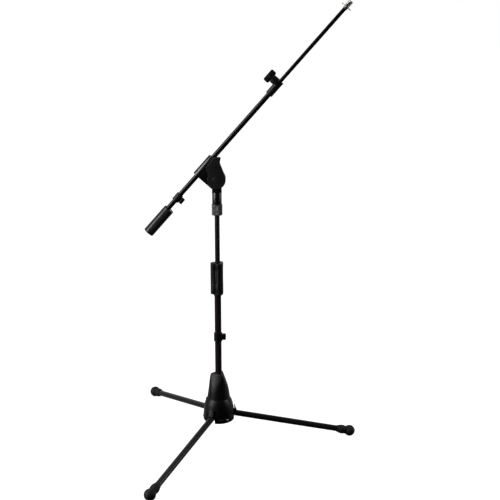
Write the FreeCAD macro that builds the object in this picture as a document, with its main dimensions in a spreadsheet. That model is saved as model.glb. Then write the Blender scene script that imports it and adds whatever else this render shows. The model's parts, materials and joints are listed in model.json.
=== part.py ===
import FreeCAD, Part
import Sketcher
import math
import os
import re

# Boom microphone stand: a folding three-legged base, a telescoping column with a
# twist clutch, and a telescoping boom in a cradle that tilts and pans on top of it.
# Frame: +Z up from the floor, the boom reaches along +X, and the origin is on the
# floor at the middle of the space that the feet take up.

os.makedirs("parts", exist_ok=True)
doc = FreeCAD.newDocument("BoomStand")
Vec = FreeCAD.Vector
zAxis = Vec(0, 0, 1)
yAxis = Vec(0, 1, 0)

# ---------------------------------------------------------------- driving dimensions

sheet = doc.addObject("Spreadsheet::Sheet", "Dims")
drivingSizes = [
    ("footCircle", 445, "column axis to the middle of each foot"),
    ("legAzimuth", 4.4, "first leg, degrees from +X"),
    ("footBall", 18.5, "radius of the ball on each foot"),
    ("footHeight", 18, "height of the ball's middle, so its underside is a small flat"),
    ("footSleeve", 14.3, "radius of the foot's sleeve on the leg"),
    ("footSleeveLength", 45, "ball's middle to the end of the sleeve"),
    ("legTube", 10, "leg tube radius"),
    ("legWall", 1.2, "leg tube wall"),
    ("hingeCircle", 32, "column axis to each leg's hinge pin"),
    ("hingeHeight", 102, "height of the hinge pins"),
    ("hingePin", 3, "hinge pin radius"),
    ("lugWidth", 20, "width of a leg's hinge lug"),
    ("finWidth", 16, "width of the fin on top of the lug"),
    ("earThickness", 4, "hub ear beside the lug"),
    ("slotWidth", 21, "leg slot through the skirt"),
    ("slotTop", 111, "top of the leg slots"),
    ("skirtBottom", 80, "lower edge of the base"),
    ("rimHeight", 98, "joint between the rim and the skirt"),
    ("rimRadius", 51.5, "radius of the rim"),
    ("bellyHeight", 122, "middle of the skirt's bulge"),
    ("bellyRadius", 49.4, "skirt radius there"),
    ("waistHeight", 138, "where the skirt's slope steepens"),
    ("waistRadius", 46.3, "skirt radius there"),
    ("seamHeight", 157, "joint between skirt and upper shell"),
    ("seamRadius", 38, "base radius at that joint"),
    ("shellMid", 194, "middle of the upper shell"),
    ("shellMidRadius", 32.7, "shell radius there"),
    ("shellHigh", 230, "where the upper shell narrows"),
    ("shellHighRadius", 28.4, "shell radius there"),
    ("shellTop", 242, "top of the upper shell"),
    ("shellTopRadius", 26.8, "shell radius at the top, at the three corners"),
    ("flatTop", 16, "column axis to each of the three flats at the top"),
    ("flatLean", 19.3, "degrees that the flats lean in"),
    ("flatRound", 80, "radius of the flats' slight bulge"),
    ("shellWall", 3, "wall of skirt and shell"),
    ("hubRadius", 20, "leg hub's core"),
    ("hubTop", 146, "top of the hub"),
    ("screwRadius", 3, "base screws"),
    ("columnTube", 11, "lower column tube radius"),
    ("columnWall", 1.2, "lower column tube wall"),
    ("columnBottom", 88, "lower end of the lower tube"),
    ("columnTop", 561, "upper end of the lower tube"),
    ("gripBottom", 517, "lower end of the clutch grip"),
    ("gripTop", 621, "upper end of the clutch grip"),
    ("gripFlat", 18.2, "grip axis to each of its three flats"),
    ("gripRound", 13.3, "rounding of the grip's three lobes"),
    ("clutchRadius", 14, "clutch body inside the grip"),
    ("colletRadius", 11.5, "collet inside the clutch body"),
    ("upperTube", 8, "upper column tube radius"),
    ("upperWall", 1.2, "upper column tube wall"),
    ("upperBottom", 120, "lower end of the upper tube"),
    ("upperTop", 790, "upper end of the upper tube"),
    ("studRadius", 7.9, "five-eighths inch thread, outer radius"),
    ("nutRadius", 17.2, "ring nut radius"),
    ("nutBottom", 778, "ring nut, lower face"),
    ("nutTop", 813.5, "ring nut, upper face"),
    ("stemRadius", 15.2, "swivel stem radius"),
    ("pivotHeight", 894.3, "tilt pivot above the floor"),
    ("stemDrop", 43, "pivot down to the shoulder of the stem"),
    ("earRadius", 26, "swivel ear about the pivot"),
    ("earHalf", 6, "half the thickness of the swivel ear"),
    ("boomAngle", 48.4, "boom above the horizontal, degrees"),
    ("boomOffset", 53, "pivot to the boom's axis"),
    ("cradleHalf", 33, "half the cradle's width along the boom"),
    ("cradleDisc", 28, "round end of each cheek about the pivot"),
    ("cradleFront", 42, "front end of the cradle's sleeve"),
    ("sleeveRadius", 14.5, "outside of the sleeve round the boom"),
    ("linerRadius", 9.5, "bore of the sleeve for its liner"),
    ("cheekInside", 7.1, "mid plane to the inside of each cheek"),
    ("boltRadius", 5, "pivot bolt"),
    ("leverDisc", 28.5, "round end of the locking lever"),
    ("leverBack", 15.5, "mid plane to the back of the lever"),
    ("leverFront", 27.5, "mid plane to the front of the lever"),
    ("outerTube", 8, "outer boom tube radius"),
    ("outerWall", 1.1, "outer boom tube wall"),
    ("outerRear", -225, "rear end of the outer boom tube"),
    ("outerFront", 350, "front end of the outer boom tube"),
    ("weightRadius", 17.2, "counterweight radius"),
    ("weightOffset", 4, "its bore is this far off its own axis, so most of it hangs below"),
    ("weightRear", -275, "rear end of the counterweight"),
    ("weightFront", -173, "front end of the counterweight"),
    ("clampRear", 303.5, "rear end of the boom clamp"),
    ("clampFront", 358, "front end of the boom clamp"),
    ("clampRadius", 11.7, "boom clamp sleeve radius"),
    ("knobPlace", 347.7, "clamp screw along the boom"),
    ("bossRadius", 13, "clamp boss radius"),
    ("bossHeight", 24.4, "boom axis to the top of the boss"),
    ("wingSpan", 41, "wing knob along the boom"),
    ("wingHeight", 19, "wing knob away from the boom"),
    ("innerTube", 6, "inner boom tube radius"),
    ("innerWall", 1, "inner boom tube wall"),
    ("innerRear", 100, "rear end of the inner boom tube"),
    ("innerFront", 645, "front end of the inner boom tube"),
    ("studFront", 675, "end of the microphone thread"),
    ("neckRadius", 7.5, "stud under the lock ring"),
    ("ringRadius", 18, "lock ring on the microphone thread"),
    ("ringRear", 651.9, "lock ring, rear face"),
    ("ringThickness", 2.2, "lock ring thickness"),
    ("clipWall", 3.2, "cable clip collar wall"),
    ("clipHeight", 26, "cable clip collar length"),
    ("clipHook", 7.5, "outside of the clip's hook"),
    ("clipCable", 4.2, "inside of the clip's hook"),
    ("clipMouth", 6, "mouth of the clip's hook"),
    ("columnClip", 369, "height of the column's cable clip"),
    ("boomClip", -127, "boom's cable clip along the boom"),
    ("fitGap", 0.1, "radial clearance of a sliding or turning fit"),
    ("freeGap", 0.3, "clearance between faces that only pass each other"),
]
for row, (alias, number, note) in enumerate(drivingSizes, start=1):
    sheet.set(f"A{row}", alias)
    sheet.set(f"B{row}", str(number))
    sheet.setAlias(f"B{row}", alias)
    sheet.set(f"C{row}", note)
doc.recompute()
aliases = {alias for alias, number, note in drivingSizes}


def formula(text):
    """The text with each driving dimension's name made a reference to the sheet."""
    return re.sub(
        r"[A-Za-z_]\w*", lambda word: f"Dims.{word[0]}" if word[0] in aliases else word[0], str(text)
    )


def size(text):
    """The number that a formula in driving dimensions gives."""
    return float(sheet.evalExpression(formula(text)))


def bind(thing, **formulas):
    for name, text in formulas.items():
        thing.setExpression(name, formula(text))


# ---------------------------------------------------------------- frames

def footSpan(turn):
    """Each foot's place along X (turn 0) or Y (turn -90), from the column axis."""
    angles = [size("legAzimuth") + 120 * leg + turn for leg in range(3)]
    return [size("footCircle") * math.cos(math.radians(angle)) for angle in angles]


columnX = -(max(footSpan(0)) + min(footSpan(0))) / 2
columnY = -(max(footSpan(-90)) + min(footSpan(-90))) / 2
boomAngle = math.radians(size("boomAngle"))
towardPivot = Vec(math.sin(boomAngle), 0, -math.cos(boomAngle))
pivot = Vec(columnX, columnY, size("pivotHeight"))

# The column frame stands on the floor at the column axis. The boom frame has Z along
# the boom and X from the boom's axis towards the pivot. The pivot frame is upright.
columnFrame = FreeCAD.Placement(Vec(columnX, columnY, 0), FreeCAD.Rotation())
baseFrame = FreeCAD.Placement(Vec(columnX, columnY, 0), FreeCAD.Rotation(zAxis, size("legAzimuth")))
pivotFrame = FreeCAD.Placement(pivot, FreeCAD.Rotation())
boomFrame = FreeCAD.Placement(
    pivot - towardPivot * size("boomOffset"), FreeCAD.Rotation(yAxis, 90 - size("boomAngle"))
)

alongX = FreeCAD.Rotation(yAxis, 90)
alongMinusX = FreeCAD.Rotation(yAxis, -90)
alongY = FreeCAD.Rotation(Vec(1, 0, 0), -90)
upright = FreeCAD.Rotation()

# ---------------------------------------------------------------- building blocks

pieces = []


def keep(thing, label, frame):
    """Name a finished piece, put it in its frame and list it for the files."""
    thing.Label = label
    thing.Placement = frame
    pieces.append(thing)
    return thing


def place(thing, x=0, y=0, z=0, rotation=upright):
    thing.Placement = FreeCAD.Placement(Vec(0, 0, 0), rotation)
    bind(thing, **{".Placement.Base.x": x, ".Placement.Base.y": y, ".Placement.Base.z": z})
    return thing


def rod(radius, length, x=0, y=0, z=0, rotation=upright):
    """A cylinder that starts at a point and runs along the rotated Z axis."""
    thing = doc.addObject("Part::Cylinder", "Rod")
    bind(thing, Radius=radius, Height=length)
    return place(thing, x, y, z, rotation)


def block(length, width, height, x, y, z):
    """A box from its lowest corner."""
    thing = doc.addObject("Part::Box", "Block")
    bind(thing, Length=length, Width=width, Height=height)
    return place(thing, x, y, z)


def joined(*things):
    whole = doc.addObject("Part::MultiFuse", "Joined")
    whole.Shapes = list(things)
    return whole


def without(base, *tools):
    """The base with every tool cut out of it."""
    for tool in tools:
        rest = doc.addObject("Part::Cut", "Without")
        rest.Base = base
        rest.Tool = tool
        base = rest
    return base


def within(base, *others):
    """What the base shares with every other shape."""
    for other in others:
        shared = doc.addObject("Part::Common", "Within")
        shared.Base = base
        shared.Tool = other
        base = shared
    return base


def grouped(*things):
    """Separate solids that share one node, or a lone primitive that keeps its place in it."""
    group = doc.addObject("Part::Compound", "Grouped")
    group.Links = list(things)
    return group


def around(make, count, start=0):
    """Copies of a piece turned evenly about the Z axis, as a list."""
    copies = []
    for index in range(count):
        holder = doc.addObject("Part::Compound", "Turned")
        holder.Links = [make()]
        turn = FreeCAD.Rotation(zAxis, start + index * 360 / count)
        holder.Placement = FreeCAD.Placement(Vec(0, 0, 0), turn)
        copies.append(holder)
    return copies


def originFeature(body, role):
    return next(feature for feature in body.Origin.OriginFeatures if feature.Role == role)


def drawOutline(body, role, corners):
    """A closed outline on one of the body's planes, each corner bound to two formulas."""
    sketch = body.newObject("Sketcher::SketchObject", "Outline")
    sketch.AttachmentSupport = (originFeature(body, role), [""])
    sketch.MapMode = "FlatFace"
    points = [Vec(size(across), size(up), 0) for across, up in corners]
    count = len(points)
    for index in range(count):
        sketch.addGeometry(Part.LineSegment(points[index], points[(index + 1) % count]))
    for index in range(count):
        sketch.addConstraint(Sketcher.Constraint("Coincident", index, 2, (index + 1) % count, 1))
    for index, (across, up) in enumerate(corners):
        point = points[index]
        for kind, text, number in (("DistanceX", across, point.x), ("DistanceY", up, point.y)):
            which = sketch.addConstraint(Sketcher.Constraint(kind, -1, 1, index, 1, number))
            sketch.setExpression(f"Constraints[{which}]", formula(text))
    return sketch


def turned(corners, cuts=()):
    """A body turned about Z from a half section, with further half sections cut out."""
    body = doc.addObject("PartDesign::Body", "Turning")
    turns = [("PartDesign::Revolution", corners)] + [("PartDesign::Groove", cut) for cut in cuts]
    for kind, outline in turns:
        sketch = drawOutline(body, "XZ_Plane", outline)
        feature = body.newObject(kind, "Turn")
        feature.Profile = sketch
        feature.ReferenceAxis = (sketch, ["V_Axis"])
        feature.Angle = 360
        body.Tip = feature
    return body


def tube(inner, outer, low, high):
    """A turned ring between two radii and two heights."""
    return turned([(inner, low), (outer, low), (outer, high), (inner, high)])


def bevelled(inner, outer, low, high, bevel):
    """A turned ring whose two outer edges are bevelled."""
    return turned([
        (inner, low), (f"{outer} - {bevel}", low), (outer, f"{low} + {bevel}"),
        (outer, f"{high} - {bevel}"), (f"{outer} - {bevel}", high), (inner, high),
    ])


def padded(corners, role, start, length, rounding=0, chosen=lambda edge: True):
    """A body padded from an offset of one of its planes, its chosen deep edges rounded."""
    body = doc.addObject("PartDesign::Body", "Plate")
    sketch = drawOutline(body, role, corners)
    bind(sketch, **{".AttachmentOffset.Base.z": start})
    pad = body.newObject("PartDesign::Pad", "Pad")
    pad.Profile = sketch
    bind(pad, Length=length)
    body.Tip = pad
    if rounding:
        doc.recompute()
        depth = zAxis if role == "XY_Plane" else yAxis
        deepEdges = [
            f"Edge{index}" for index, edge in enumerate(pad.Shape.Edges, start=1)
            if abs(edge.tangentAt(edge.FirstParameter).dot(depth)) > 0.9 and chosen(edge)
        ]
        rounds = body.newObject("PartDesign::Fillet", "Rounds")
        rounds.Base = (pad, deepEdges)
        bind(rounds, Radius=rounding)
        body.Tip = rounds
    return body


# ---------------------------------------------------------------- base

def legSlot():
    """The space that a leg needs through the base, from the hinge outwards and below."""
    return block("footCircle", "slotWidth", "slotTop - skirtBottom + 10", "hubRadius + 0.5", "-slotWidth/2",
                 "skirtBottom - 10")


def baseScrew(radius, inner, outer, height):
    return rod(radius, f"{outer} - ({inner})", x=inner, z=height, rotation=alongX)


rimScrewHeight = "skirtBottom + 11"
seamScrewHeight = "seamHeight - 4"
betweenLegs = 60


def baseSkirt():
    """The bulging middle of the base, with a lip that reaches down inside the rim."""
    lip = "rimRadius - shellWall - 0.3"
    shoulder = "(waistHeight + seamHeight)/2"
    shoulderRadius = "(waistRadius + seamRadius)/2 + 1"
    skirt = turned([
        (lip, "skirtBottom + 4"), (lip, "rimHeight"), ("rimRadius", "rimHeight"),
        ("bellyRadius", "bellyHeight"),
        ("waistRadius", "waistHeight"), (shoulderRadius, shoulder), ("seamRadius", "seamHeight"),
        ("seamRadius - shellWall", "seamHeight"), (f"{shoulderRadius} - shellWall", shoulder),
        ("waistRadius - shellWall", "waistHeight"), ("bellyRadius - shellWall", "bellyHeight"),
        (f"{lip} - shellWall", "rimHeight + 6"), (f"{lip} - shellWall", "skirtBottom + 4"),
    ])
    rimHoles = around(lambda: baseScrew("screwRadius + 0.1", 40, 60, rimScrewHeight), 3, betweenLegs)
    seamHoles = around(lambda: baseScrew("screwRadius + 0.1", 30, 60, seamScrewHeight), 3, betweenLegs)
    slots = around(legSlot, 3)
    keep(without(skirt, *slots, *rimHoles, *seamHoles), "base_skirt", baseFrame)


def baseUpperShell():
    """The cone, made three-sided towards its top by a leaning flat above each leg."""
    lip = "seamRadius - shellWall - 0.7"
    shell = turned([
        (lip, "seamHeight - 8"), (lip, "seamHeight"), ("seamRadius", "seamHeight"),
        ("shellMidRadius", "shellMid"), ("shellHighRadius", "shellHigh"),
        ("shellTopRadius", "shellTop - 2"),
        ("shellTopRadius - 1.5", "shellTop"), ("columnTube + 2", "shellTop"),
        ("columnTube + 2", "shellTop - 8"),
        ("flatTop - 0.5", "shellTop - 8"), ("shellMidRadius - shellWall - 0.3", "shellMid"),
        (f"{lip} - shellWall", "seamHeight"), (f"{lip} - shellWall", "seamHeight - 8"),
    ])
    flats = around(lambda: rod(
        "flatRound", 500, x="flatTop + shellTop*tan(flatLean) - flatRound/cos(flatLean)",
        rotation=FreeCAD.Rotation(yAxis, -size("flatLean"))
    ), 3)
    holes = around(lambda: baseScrew("screwRadius + 0.1", 26, 60, seamScrewHeight), 3, betweenLegs)
    keep(without(within(shell, *flats), *holes), "base_upper_shell", baseFrame)


def baseBottomPlate():
    """The floor of the base and the upright rim that shows below the skirt."""
    plate = turned([
        ("columnTube + 0.5", "skirtBottom"), ("rimRadius - 1.5", "skirtBottom"),
        ("rimRadius", "skirtBottom + 1.5"),
        ("rimRadius", "rimHeight"), ("rimRadius - shellWall", "rimHeight"),
        ("rimRadius - shellWall", "skirtBottom + 3"), ("columnTube + 0.5", "skirtBottom + 3"),
    ])
    holes = around(lambda: baseScrew("screwRadius + 0.1", 36, 60, rimScrewHeight), 3, betweenLegs)
    slots = around(legSlot, 3)
    keep(without(plate, *slots, *holes), "base_bottom_plate", baseFrame)


def legHub():
    core = tube("columnTube", "hubRadius", "columnBottom", "hubTop")
    earOutside = "lugWidth/2 + 0.6 + earThickness"

    def earPair():
        ears = block("hingeCircle - 7", f"2*({earOutside})", 26, 15, f"-({earOutside})", "hingeHeight - 12")
        gap = block("hingeCircle + 10", "lugWidth + 1.2", 30, "hubRadius", "-lugWidth/2 - 0.6",
                    "hingeHeight - 14")
        return without(ears, gap)

    def pinHole():
        return rod("hingePin + 0.05", 60, x="hingeCircle", y=-30, z="hingeHeight", rotation=alongY)

    bore = rod("columnTube", 100, z="columnBottom - 10")
    solid = joined(core, *around(earPair, 3))
    keep(without(solid, bore, *around(pinHole, 3)), "leg_hub", baseFrame)


def hingePins():
    length = "lugWidth + 2*earThickness + 1.2"
    pins = around(lambda: rod(
        "hingePin", length, x="hingeCircle", y=f"-({length})/2", z="hingeHeight", rotation=alongY
    ), 3)
    keep(grouped(*pins), "leg_hinge_pins", baseFrame)


def baseScrews():
    for label, inner, outer, height in (
        ("base_rim_screws", "rimRadius - 9", "rimRadius + 1", rimScrewHeight),
        ("base_seam_screws", "seamRadius - 9", "seamRadius + 4", seamScrewHeight),
    ):
        screws = around(lambda: baseScrew("screwRadius", inner, outer, height), 3, betweenLegs)
        keep(grouped(*screws), label, baseFrame)


# ---------------------------------------------------------------- legs

legReach = math.hypot(size("footCircle - hingeCircle"), size("hingeHeight - footHeight"))
legDrop = math.degrees(math.asin(size("hingeHeight - footHeight") / legReach))
tubeStart = "hingePin + 13"


def leg(side, azimuth):
    """One leg: its hinge lug with a peaked fin, its tube and its rubber foot."""
    outward = FreeCAD.Rotation(zAxis, azimuth)
    down = FreeCAD.Rotation(yAxis, legDrop)
    centre = Vec(columnX, columnY, 0)
    hinge = centre + outward.multVec(Vec(size("hingeCircle"), 0, size("hingeHeight")))
    foot = centre + outward.multVec(Vec(size("footCircle"), 0, size("footHeight")))
    legFrame = FreeCAD.Placement(hinge, outward.multiply(down))
    footFrame = FreeCAD.Placement(foot, outward)

    lug = rod("legTube - 0.5", "lugWidth", y="-lugWidth/2", rotation=alongY)
    neck = block(tubeStart, "lugWidth - 1", "2*legTube - 2", 0, "-lugWidth/2 + 0.5", "-legTube + 1")
    plug = rod("legTube - legWall", 45, x=8, rotation=alongX)
    peak = [(13, 0), (26, 0), (26, 12), (21.5, 18), (15.8, 29.9), (15.2, 23.6), (18, 13), (13, 8.4)]
    fin = without(
        padded(peak, "XZ_Plane", "-finWidth/2", "finWidth"), rod("legTube", 60, x=tubeStart, rotation=alongX)
    )
    pinHole = rod("hingePin + fitGap", 40, y=-20, rotation=alongY)
    keep(without(joined(lug, neck, plug, fin), pinHole), f"leg_knuckle_{side}", legFrame)

    outside = rod("legTube", legReach - 20 - size(tubeStart), x=tubeStart, rotation=alongX)
    inside = rod("legTube - legWall", legReach, x=0, rotation=alongX)
    keep(without(outside, inside), f"leg_tube_{side}", legFrame)

    ball = doc.addObject("Part::Sphere", "Ball")
    bind(ball, Radius="footBall")
    ball.Angle1 = -math.degrees(math.asin(size("footHeight") / size("footBall")))
    towardHinge = FreeCAD.Rotation(yAxis, legDrop - 90)
    sleeve = rod("footSleeve", "footSleeveLength", rotation=towardHinge)
    socket = rod("legTube", "footSleeveLength", rotation=towardHinge)
    socket.Placement.Base = towardHinge.multVec(Vec(0, 0, 20))
    socket.setExpression(".Placement.Base.x", None)
    socket.setExpression(".Placement.Base.y", None)
    socket.setExpression(".Placement.Base.z", None)
    keep(without(joined(ball, sleeve), socket), f"foot_{side}", footFrame)


# ---------------------------------------------------------------- column

def lowerColumn():
    pipe = tube("columnTube - columnWall", "columnTube", "columnBottom", "columnTop")
    keep(pipe, "lower_column_tube", columnFrame)
    keep(turned([
        ("columnTube", "shellTop - 8"), ("columnTube + 1.9", "shellTop - 8"),
        ("columnTube + 1.9", "shellTop"),
        ("columnTube + 1.1", "shellTop + 0.8"), ("columnTube", "shellTop + 0.8"),
    ]), "column_bushing", columnFrame)
    collar = bevelled("columnTube", "columnTube + 1.6", "gripBottom - 7", "gripBottom - 0.6", 0.6)
    keep(collar, "clutch_collar", columnFrame)


def clutch():
    seat = "columnTop + 5"
    keep(turned([
        ("columnTube", "gripBottom - 0.4"), ("clutchRadius", "gripBottom - 0.4"),
        ("clutchRadius", "columnTop + 35"),
        ("colletRadius + 0.1", "columnTop + 35"), ("colletRadius + 0.1", seat), ("upperTube + 1.7", seat),
        ("upperTube + 1.7", "columnTop"), ("columnTube", "columnTop"),
    ]), "clutch_body", columnFrame)
    collet = turned([
        ("upperTube + fitGap", f"{seat} + 0.5"), ("colletRadius", f"{seat} + 0.5"),
        ("colletRadius", "columnTop + 36"),
        ("colletRadius + 1", "columnTop + 38"), ("colletRadius + 1", "columnTop + 46"),
        ("colletRadius - 1", "columnTop + 50"), ("upperTube + fitGap", "columnTop + 50"),
    ])
    slits = around(lambda: block(20, 1.5, 40, 5, -0.75, "columnTop + 12"), 3, 30)
    keep(without(collet, *slits), "clutch_collet", columnFrame)

    corner = "2*gripFlat"
    side = "gripFlat*1.7320508"
    grip = padded([("-gripFlat", f"-{side}"), (corner, 0), ("-gripFlat", side)], "XY_Plane", "gripBottom",
                  "gripTop - gripBottom", "gripRound")
    doc.recompute()
    lobes = grip.Tip
    rims = [
        f"Edge{index}" for index, edge in enumerate(lobes.Shape.Edges, start=1)
        if abs(edge.BoundBox.ZMax - edge.BoundBox.ZMin) < 0.01
    ]
    bevel = grip.newObject("PartDesign::Chamfer", "GripRims")
    bevel.Base = (lobes, rims)
    bevel.Size = 1.5
    bore = grip.newObject("PartDesign::Groove", "GripBore")
    section = drawOutline(grip, "XZ_Plane", [
        (0, "gripBottom - 1"), ("clutchRadius + freeGap", "gripBottom - 1"),
        ("clutchRadius + freeGap", "gripTop - 8"),
        ("upperTube + 2*freeGap", "gripTop - 8"), ("upperTube + 2*freeGap", "gripTop + 1"),
        (0, "gripTop + 1"),
    ])
    bore.Profile = section
    bore.ReferenceAxis = (section, ["V_Axis"])
    bore.Angle = 360
    grip.Tip = bore
    keep(grip, "clutch_grip", FreeCAD.Placement(Vec(columnX, columnY, 0), FreeCAD.Rotation(zAxis, 180)))


def upperColumn():
    pipe = tube("upperTube - upperWall", "upperTube", "upperBottom", "upperTop")
    keep(pipe, "upper_column_tube", columnFrame)
    slide = "columnTube - columnWall - fitGap"
    keep(turned([
        (4, "upperBottom - 6"), (slide, "upperBottom - 6"), (slide, "upperBottom"),
        ("upperTube - upperWall", "upperBottom"), ("upperTube - upperWall", "upperBottom + 20"),
        (4, "upperBottom + 20"),
    ]), "upper_tube_guide", columnFrame)
    keep(turned([
        (0, "upperTop - 30"), ("upperTube - upperWall", "upperTop - 30"),
        ("upperTube - upperWall", "upperTop"),
        ("studRadius", "upperTop"), ("studRadius", "nutTop + 21"), ("studRadius - 1.5", "nutTop + 23"),
        (0, "nutTop + 23"),
    ]), "column_stud", columnFrame)
    keep(bevelled("upperTube + freeGap", "nutRadius", "nutBottom", "nutTop", 1.5), "ring_nut", columnFrame)


# ---------------------------------------------------------------- swivel and cradle

def swivelHead():
    socketTop = "nutTop + 25"
    stemBottom = "nutTop + 0.5"
    shoulder = "pivotHeight - stemDrop"
    stem = turned([
        ("studRadius + freeGap", stemBottom), ("stemRadius", stemBottom), ("stemRadius", shoulder),
        (0, shoulder),
        (0, socketTop), ("studRadius + freeGap", socketTop),
    ])
    neck = block("2*stemRadius", "2*earHalf", "stemDrop + 4", "-stemRadius", "-earHalf", f"{shoulder} - 4")
    ear = rod("earRadius", "2*earHalf", y="-earHalf", z="pivotHeight", rotation=alongY)
    hole = rod("boltRadius + fitGap", 60, y=-30, z="pivotHeight", rotation=alongY)
    keep(without(joined(stem, neck, ear), hole), "swivel_head", columnFrame)


def cradleHalf(label, side):
    """One cheek with its half of the sleeve. Side is -1 for the lever's side, or 1."""
    start = "cheekInside" if side < 0 else "-sleeveRadius"
    thickness = "sleeveRadius - cheekInside"
    cheek = padded([
        (0, "-cradleHalf"), ("boomOffset + 9", "-cradleHalf"), ("boomOffset + 21", "9 - cradleHalf"),
        ("boomOffset + cradleDisc", -8), ("boomOffset + 7", "cradleDisc - 1"), (0, "cradleHalf"),
    ], "XZ_Plane", start, thickness)
    disc = rod("cradleDisc", thickness, x="boomOffset", y=f"-({start}) - ({thickness})", rotation=alongY)
    sleeve = rod("sleeveRadius", "cradleHalf + cradleFront", z="-cradleHalf")
    otherHalf = block(200, 100, 400, -100, -0.4 if side < 0 else -99.6, -200)
    halfSleeve = without(sleeve, otherHalf)
    bore = rod("linerRadius", 400, z=-200)
    hole = rod("boltRadius + fitGap", 100, x="boomOffset", y=-50, rotation=alongY)
    keep(without(joined(cheek, disc, halfSleeve), bore, hole), label, boomFrame)


def cradle():
    cradleHalf("boom_cradle_near", -1)
    cradleHalf("boom_cradle_far", 1)
    liner = tube("outerTube + fitGap", "linerRadius - 0.05", "-cradleHalf", "cradleFront")
    slit = block(20, 1.5, 400, -20, -0.75, -200)
    keep(without(liner, slit), "boom_liner", boomFrame)

    def frictionWasher(start):
        outside = rod("earRadius - 4", "cheekInside - earHalf - 0.15", y=start, rotation=alongY)
        hole = rod("boltRadius + 0.2", 40, y=-20, rotation=alongY)
        return without(outside, hole)

    washers = grouped(frictionWasher("earHalf + fitGap"), frictionWasher("0.05 - cheekInside"))
    keep(washers, "friction_washers", pivotFrame)

    shank = rod("boltRadius", "leverFront + sleeveRadius - 3", y="3 - leverFront", rotation=alongY)
    head = doc.addObject("Part::Prism", "BoltHead")
    head.Polygon = 6
    bind(head, Circumradius="2*boltRadius", Height="1.3*boltRadius")
    place(head, y="sleeveRadius", rotation=alongY)
    keep(joined(shank, head), "pivot_bolt", pivotFrame)

    thrust = rod("2.4*boltRadius", "leverBack - sleeveRadius - 0.2", y="0.2 - leverBack", rotation=alongY)
    hole = rod("boltRadius", 40, y=-20, rotation=alongY)
    keep(without(thrust, hole), "lever_thrust_washer", pivotFrame)


def lockingLever():
    """A teardrop paddle: a disc at the pivot and an arm cut off along the boom."""
    arm = padded([
        ("-leverDisc + 0.5", "-leverDisc/5"), (-25.8, 13.7), (-32, 40), (-12, 68), (-5, 71.5), (14, 72),
        (10.6, 54),
        (24, 20), ("leverDisc - 0.5", "leverDisc/5"), ("leverDisc/2", "-leverDisc/2"),
    ], "XZ_Plane", "leverBack", "leverFront - leverBack", 3, lambda edge: edge.BoundBox.ZMin > 30)
    disc = rod("leverDisc", "leverFront - leverBack", y="-leverFront", rotation=alongY)
    nutHole = rod("2*boltRadius", 100, y=-50, rotation=alongY)
    keep(without(joined(arm, disc), nutHole), "tilt_lock_lever", pivotFrame)

    nut = rod("2*boltRadius - 0.05", "leverFront - leverBack - 3", y="3 - leverFront", rotation=alongY)
    thread = rod("boltRadius + fitGap", 60, y=-40, rotation=alongY)
    keep(without(nut, thread), "lever_nut", pivotFrame)
    cap = turned([
        (0, 0), ("2*boltRadius - 0.1", 0), ("2*boltRadius - 0.1", 2.6), ("2*boltRadius + 2", 2.6),
        ("2*boltRadius + 1.4", 3.3), (0, 3.7),
    ])
    capFrame = FreeCAD.Placement(
        pivot - Vec(0, size("leverFront") - 2.5, 0), FreeCAD.Rotation(Vec(1, 0, 0), 90)
    )
    keep(cap, "lever_cap", capFrame)


# ---------------------------------------------------------------- boom

def outerBoom():
    pipe = tube("outerTube - outerWall", "outerTube", "outerRear", "outerFront")
    screwHole = rod(3.3, 20, z="knobPlace", rotation=alongMinusX)
    keep(without(pipe, screwHole), "outer_boom_tube", boomFrame)

    weight = turned([
        (0, "weightRear"), ("weightRadius - 1", "weightRear"), ("weightRadius", "weightRear + 1"),
        ("weightRadius", "weightFront - 1"), ("weightRadius - 1", "weightFront"), (0, "weightFront"),
    ])
    tubeBore = rod("outerTube", "weightFront - outerRear + 1", x="-weightOffset", z="outerRear")
    grubHole = rod(2.6, 30, z="weightFront - 14", rotation=alongX)
    weightFrame = boomFrame.multiply(FreeCAD.Placement(Vec(size("weightOffset"), 0, 0), upright))
    keep(without(weight, tubeBore, grubHole), "counterweight", weightFrame)
    grubStart = "outerTube - weightOffset"
    grub = rod(2.5, f"weightRadius - 0.8 - ({grubStart})", x=grubStart, z="weightFront - 14", rotation=alongX)
    keep(grouped(grub), "counterweight_screw", weightFrame)

    barrel = turned([
        ("outerTube", "clampRear"), ("clampRadius - 1", "clampRear"), ("clampRadius", "clampRear + 1"),
        ("clampRadius", "clampFront - 3"), ("clampRadius + 0.8", "clampFront - 2.4"),
        ("clampRadius + 0.8", "clampFront"),
        ("innerTube + 2*fitGap", "clampFront"), ("innerTube + 2*fitGap", "outerFront"),
        ("outerTube", "outerFront"),
    ])
    boss = rod("bossRadius", "bossHeight", z="knobPlace", rotation=alongMinusX)
    bore = rod("outerTube", "outerFront - clampRear", z="clampRear")
    frontBore = rod("innerTube + 2*fitGap", 60, z="clampRear")
    thread = rod(3.1, 60, z="knobPlace", rotation=alongMinusX)
    keep(without(joined(barrel, boss), bore, frontBore, thread), "boom_clamp_body", boomFrame)


def wingKnob():
    """A thick rounded wing that turns right on top of the boss, and its screw."""
    top = "bossHeight + 0.8"
    wing = padded([
        (f"-({top})", "knobPlace - wingSpan/2"), (f"-({top})", "knobPlace + wingSpan/2"),
        (f"-({top}) - wingHeight", "knobPlace + wingSpan/2"),
        (f"-({top}) - wingHeight", "knobPlace - wingSpan/2"),
    ], "XZ_Plane", -4.5, 9, 5)
    hub = rod(8, 15, x=f"-({top})", z="knobPlace", rotation=alongMinusX)
    socket = rod(3, 10, x=f"-({top})", z="knobPlace", rotation=alongMinusX)
    keep(without(joined(hub, wing), socket), "clamp_wing_knob", boomFrame)
    screw = rod(3, f"{top} + 10 - innerTube - 0.3", x="-innerTube - 0.3", z="knobPlace", rotation=alongMinusX)
    keep(grouped(screw), "clamp_screw", boomFrame)


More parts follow.
